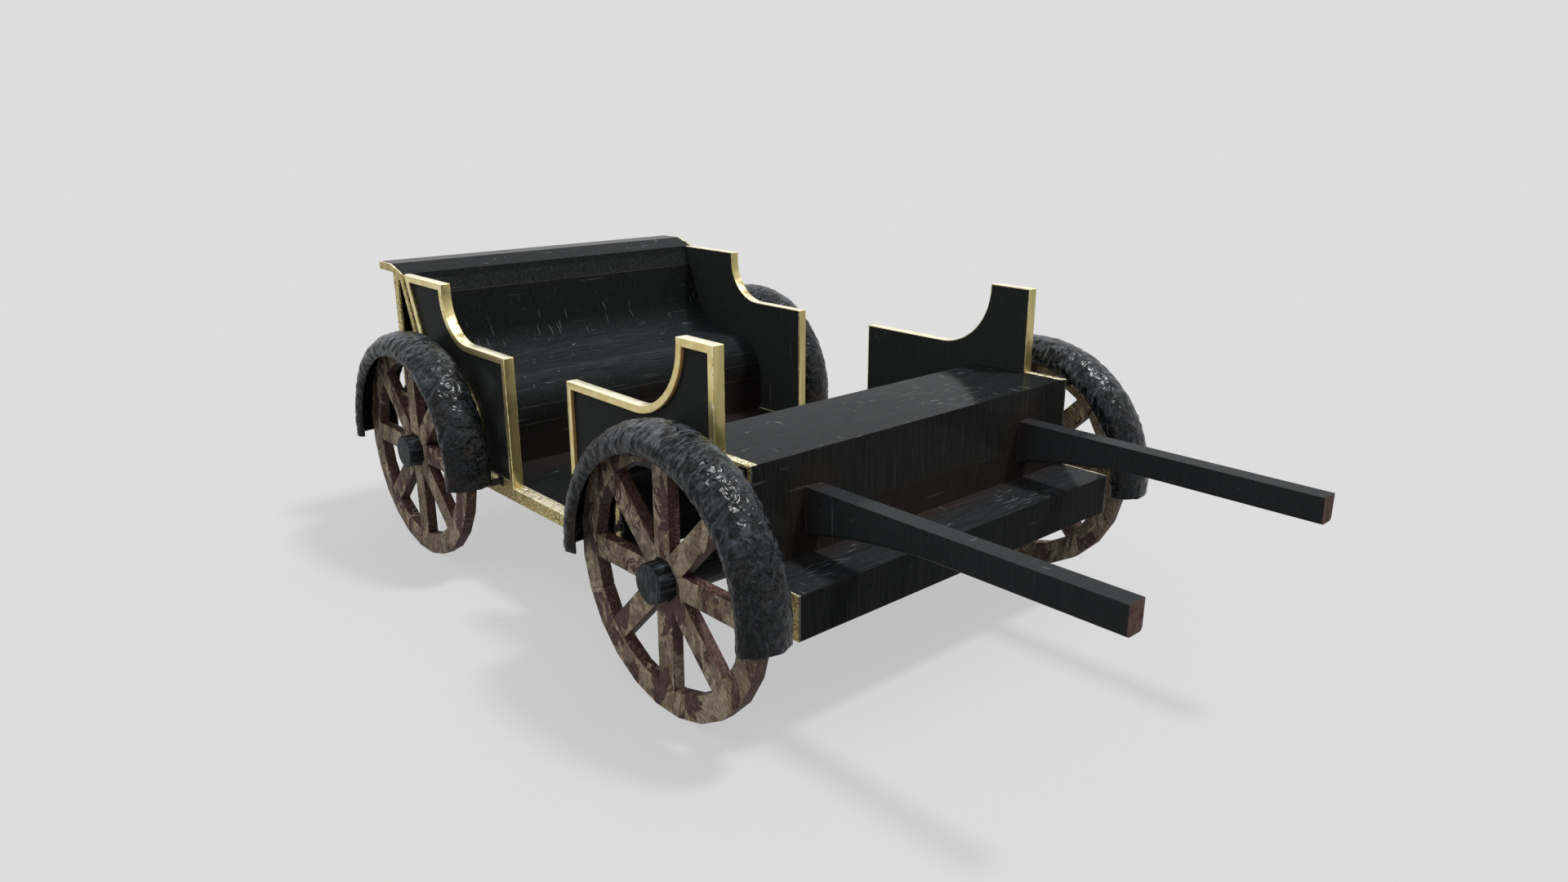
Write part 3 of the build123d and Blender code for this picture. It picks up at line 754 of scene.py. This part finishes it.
# How much more red-brown the rims and spokes' edges take, as painted shade.
RIM_SHADE = 0.15
WHEEL_EASE = 0.0025
NAVE_EASE = 0.005


def timber(name, step):
    """Stained timber, whose curls and blotches are cut from another place for each wheel."""
    paint, tree, shader, place = new_paint(name)
    moved = mapped(tree, place, shift=[step * share for share in TIMBER_STEPS])
    curled = bend(tree, moved, 3.2, 2.0, 0.22)
    line = {"Vector": curled, "Scale": 26.0, "Distortion": 7.0, "Detail": 4.0, "Detail Scale": 1.4,
            "Detail Roughness": 0.6}
    line = put(tree, "TexWave", line, wave_type="BANDS", bands_direction="DIAGONAL").outputs["Fac"]
    fine = cloudy(tree, curled, 70.0, detail=5.0, roughness=0.7)
    drawn = mapped(tree, curled, turn=(0.0, 0.7, 0.0), stretch=(1.0, 1.0, 0.45))
    blotch = cloudy(tree, drawn, 12.0, detail=8.0, roughness=0.62, distortion=0.7)
    pale = cloudy(tree, drawn, 15.0, detail=8.0, roughness=0.64, distortion=0.6)
    colour = blend_colour(tree, spread(tree, pale, 0.49, 0.535), TIMBER_TAN, TIMBER_PALE)
    colour = blend_colour(tree, times(tree, spread(tree, line, 0.4, 0.95), 0.35), colour, TIMBER_RED)
    # Painted shade: faces that don't look sideways take more of the red-brown blotch colour.
    rim_side = reckon(tree, "SUBTRACT", 1.0, spread(tree, facing(tree, "Y"), 0.5, 0.8))
    stain_and_rim_shade = spread(tree, total(tree, blotch, times(tree, rim_side, RIM_SHADE)), 0.530, 0.548)
    red = blend_colour(tree, spread(tree, fine, 0.4, 0.62), TIMBER_DARK, TIMBER_RED)
    colour = blend_colour(tree, stain_and_rim_shade, colour, red)
    flecks = spread(tree, fine, 0.38, 0.64, 0.65, 1.35)
    colour = put(tree, "VectorMath", {0: colour, "Scale": flecks}, operation="SCALE").outputs[0]
    set_inputs(tree, shader, {
        "Base Color": colour,
        "Roughness": spread(tree, stain_and_rim_shade, 0.0, 1.0, *TIMBER_ROUGHNESS),
        "Specular IOR Level": TIMBER_GLOSS,
        "Normal": raised(tree, total(tree, times(tree, line, 0.5), fine), TIMBER_RELIEF),
    })
    return paint


for count, end in enumerate(ENDS):
    for side, sign in SIDES.items():
        wheel = f"{end}_wheel_{side}"
        wood = timber(wheel + "_timber", END_STEP * count + SIDE_STEP * sign)
        eased(wheel + "_felloes", wood, WHEEL_EASE, wheel)
        eased(wheel + "_spokes", wood, WHEEL_EASE, wheel)
        eased(wheel + "_nave", axle_paint, NAVE_EASE, wheel, segments=3)

# The guards: half-round troughs of black sheet over the wheels, hammered and crumpled by hand, with
# glints on the ridges, which are also painted a lighter blue-grey as a painted highlight, and pale
# streaks painted on what looks up or back as painted reflections. Stays of the same black iron
# carry them: square bars, each from a small plate on the body's side out into the trough.
GUARD_PLANE = 1.016
GUARD_RADIUS = 0.484
GUARD_HALF_WIDTH = 0.1003
GUARD_CROWN = 0.0665
GUARD_WALL = 0.010
GUARD_LIP = radians(124)
GUARD_LIP_SLACK = 1e-4
GUARD_AHEAD = 0.025
GUARD_FRONT_DROP = 0.050
GUARD_FRONT_DROP_STEPS = 8
GUARD_REAR_DROP = 0.018
GUARD_REAR_DROP_STEPS = 3
SECTION_CUTS = 120
ARC_CUTS = 270
SKIN_FROM = 0.93
LUMP = 0.0075
LUMPS_IN_A_METRE = 21.0
SMALL_LUMPS_IN_A_METRE = 43.0
SMALL_LUMP_SHARE = 0.35
LUMP_CUT = 0.55
LUMP_LEVEL = 0.25
FOLD = 0.0013
FOLDS_ROUND = 30.0
FOLDS_ACROSS = 17.0
FOLD_LEVEL = 0.3
FOLD_DEPTH = 1.5
INNER_SHARE = 0.3
BODY_SIDE = 0.863
STAY_WIDTH = 0.024
STAY_PLATE = 0.040
STAY_PLATE_THICKNESS = 0.006
STAY_REACH = 0.010
STAY_EASE = 0.0015
STAYS = {
    "front": ((0.238, 0.896), (-0.485, 0.500)),
    "rear": ((0.509, 0.439), (-0.234, 0.921), (-0.424, 0.672)),
}
SHEET_BLACK = (0.0020, 0.0024, 0.0027, 1.0)
SHEET_GREY = (0.015, 0.018, 0.021, 1.0)
# A blue-grey painted highlight for the ridges of the relief.
SHEET_RIDGE_HIGHLIGHT = (0.060, 0.071, 0.085, 1.0)
# Pale painted reflection streaks for what looks up or back.
SHEET_STREAK_REFLECTION = (0.105, 0.118, 0.130, 1.0)
SHEET_BROWN = (0.024, 0.015, 0.010, 1.0)
SHEET_ROUGHNESS = (0.17, 0.29)
SHEET_GLOSS = 0.17
SHEET_RELIEF = 0.0085


def crumple(spot, centre):
    """How far the sheet stands out at a spot: hammered lumps, and sharper folds that run across it."""
    turn = (spot - centre).normalized()
    small = SMALL_LUMP_SHARE * abs(noise.noise(spot * SMALL_LUMPS_IN_A_METRE))
    lump = abs(noise.noise(spot * LUMPS_IN_A_METRE)) + small
    fold = noise.noise(Vector((turn.x * FOLDS_ROUND, spot.y * FOLDS_ACROSS, turn.z * FOLDS_ROUND)))
    return LUMP * (min(lump, LUMP_CUT) - LUMP_LEVEL) + FOLD * (FOLD_LEVEL - FOLD_DEPTH * abs(fold))


def draw_down(form, edges, drop, steps):
    """Extends a trough's end straight down."""
    for step in range(steps):
        grown = bmesh.ops.extrude_edge_only(form, edges=edges)["geom"]
        edges = [part for part in grown if isinstance(part, bmesh.types.BMEdge)]
        verts = [part for part in grown if isinstance(part, bmesh.types.BMVert)]
        bmesh.ops.translate(form, vec=(0, 0, -drop / steps), verts=verts)


def guard_form(centre):
    """A crumpled trough round a wheel, from a circle that is opened, spun and given a wall."""
    form = bmesh.new()
    bmesh.ops.create_circle(form, cap_ends=False, segments=SECTION_CUTS, radius=1.0)
    lip = cos(GUARD_LIP) - GUARD_LIP_SLACK
    bmesh.ops.delete(form, geom=[vert for vert in form.verts if vert.co.y < lip], context="VERTS")
    stand = Matrix((
        (0, GUARD_CROWN, 0, GUARD_RADIUS),
        (GUARD_HALF_WIDTH, 0, 0, 0),
        (0, 0, 1, 0),
        (0, 0, 0, 1),
    ))
    bmesh.ops.transform(form, matrix=stand, verts=form.verts)
    first = form.edges[:]
    spun = bmesh.ops.spin(form, geom=form.verts[:] + form.edges[:], cent=(0, 0, 0), axis=(0, 1, 0),
                          dvec=(0, 0, 0), angle=-pi, steps=ARC_CUTS, use_merge=False, use_duplicate=False)
    last = [part for part in spun["geom_last"] if isinstance(part, bmesh.types.BMEdge)]
    draw_down(form, first, GUARD_FRONT_DROP, GUARD_FRONT_DROP_STEPS)
    draw_down(form, last, GUARD_REAR_DROP, GUARD_REAR_DROP_STEPS)
    bmesh.ops.remove_doubles(form, verts=form.verts, dist=WELD)
    bmesh.ops.recalc_face_normals(form, faces=form.faces)
    outward = sum(face.normal.dot(face.calc_center_median() * Vector((1, 0, 1))) for face in form.faces)
    if outward < 0:
        bmesh.ops.reverse_faces(form, faces=form.faces)
    form.normal_update()
    bmesh.ops.solidify(form, geom=form.faces[:], thickness=GUARD_WALL)
    form.normal_update()
    moves = []
    for vert in form.verts:
        out = (vert.co.x ** 2 + max(vert.co.z, 0.0) ** 2) ** 0.5 - GUARD_RADIUS
        on_skin = (vert.co.y / GUARD_HALF_WIDTH) ** 2 + (out / GUARD_CROWN) ** 2 > SKIN_FROM
        move = vert.normal * crumple(vert.co + centre, centre)
        moves.append((vert, move if on_skin else move * INNER_SHARE))
    for vert, move in moves:
        vert.co += move
    bmesh.ops.translate(form, vec=centre, verts=form.verts)
    for face in form.faces:
        face.smooth = True
    return form


def hammered():
    """Black sheet: a blue-grey painted highlight on the ridges, in patches and more of it higher up, pale
    painted reflections in streaks on what looks up or back, brown low down, with sharp small glints.
    """
    paint, tree, shader, place = new_paint("hammered_sheet")
    cloud = cloudy(tree, place, 9.0, detail=6.0, roughness=0.62, distortion=0.6)
    dent = cloudy(tree, place, 27.0, detail=2.0, roughness=0.4, distortion=0.8)
    fine = cloudy(tree, place, 110.0, detail=2.0, roughness=0.4, distortion=0.6)
    rusty = cloudy(tree, place, 7.0, detail=5.0)
    height = split(tree, place)["Z"]
    high = spread(tree, height, 0.50, 0.95)
    colour = blend_colour(tree, spread(tree, fine, 0.48, 0.66), SHEET_BLACK, SHEET_GREY)
    # Painted highlight: blue-grey on the relief's ridges, in patches, more of it higher up.
    painted_shading = times(tree, spread(tree, cloud, 0.50, 0.60), spread(tree, high, 0.0, 1.0, 0.25, 0.6),
                 spread(tree, dent, 0.49, 0.57))
    colour = blend_colour(tree, painted_shading, colour, SHEET_RIDGE_HIGHLIGHT)
    # Painted reflections: pale streaks, more of them higher up and on what looks back.
    drawn = mapped(tree, place, turn=(0.0, 0.35, 0.0), stretch=(75.0, 17.0, 22.0))
    reflected_streak = spread(tree, cloudy(tree, drawn, 1.0, detail=4.0, roughness=0.6, distortion=0.5), 0.50, 0.62)
    reflected_streak = times(tree, reflected_streak, spread(tree, height, 0.35, 0.85, 0.12, 0.75),
                   spread(tree, looking(tree, "True Normal")["X"], 0.10, 0.60, 1.0, 0.22))
    colour = blend_colour(tree, reflected_streak, colour, SHEET_STREAK_REFLECTION)
    brown = times(tree, spread(tree, rusty, 0.54, 0.64), spread(tree, high, 0.0, 1.0, 0.7, 0.0))
    colour = blend_colour(tree, brown, colour, SHEET_BROWN)
    set_inputs(tree, shader, {
        "Base Color": colour,
        "Roughness": spread(tree, fine, 0.40, 0.60, *SHEET_ROUGHNESS),
        "Specular IOR Level": SHEET_GLOSS,
        "Normal": raised(tree, total(tree, dent, times(tree, fine, 0.06)), SHEET_RELIEF),
    })
    return paint


def wheel_middle(end, side):
    """The middle of a wheel, as seen in its guard's plane."""
    low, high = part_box(f"{end}_wheel_{side}_felloes")
    return Vector(((low[0] + high[0]) / 2, SIDES[side] * GUARD_PLANE, (low[2] + high[2]) / 2))


def bar(form, middle, size):
    """Adds a square bar with its edges eased."""
    made = bmesh.ops.create_cube(form, size=1.0)["verts"]
    bmesh.ops.scale(form, vec=size, verts=made)
    bmesh.ops.translate(form, vec=middle, verts=made)
    edges = {edge for vert in made for edge in vert.link_edges}
    bmesh.ops.bevel(form, geom=list(edges), offset=STAY_EASE, offset_type="OFFSET", affect="EDGES",
                    segments=2, profile=0.5, material=-1)


def stay_form(wheel, places, sign):
    """The stays of one guard: for each, a bar out to the trough and a plate on the body's side.

    A stay's place is how far it is ahead of the wheel's middle, and its height.
    """
    form = bmesh.new()
    for ahead, height in places:
        out = Vector((ahead - GUARD_AHEAD, 0.0, max(height - wheel.z, 0.0))).length - GUARD_RADIUS
        trough_side = GUARD_PLANE - GUARD_HALF_WIDTH * (1 - (out / GUARD_CROWN) ** 2) ** 0.5
        length = trough_side + STAY_REACH - BODY_SIDE
        x = wheel.x + ahead
        bar(form, (x, sign * (BODY_SIDE + length / 2), height), (STAY_WIDTH, length, STAY_WIDTH))
        plate_middle = (x, sign * (BODY_SIDE + STAY_PLATE_THICKNESS / 2), height)
        bar(form, plate_middle, (STAY_PLATE, STAY_PLATE_THICKNESS, STAY_PLATE))
    return form


sheet = hammered()
for end in ENDS:
    for side, sign in SIDES.items():
        middle = wheel_middle(end, side)
        centre = middle + Vector((GUARD_AHEAD, 0, 0))
        guard = as_object(f"{end}_guard_sheet_{side}", guard_form(centre), sheet)
        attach(guard, "carriage")
        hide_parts(f"{end}_guard_{side}")
        stays = as_object(f"{end}_guard_stays_{side}", stay_form(middle, STAYS[end], sign), iron)
        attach(stays, "carriage")
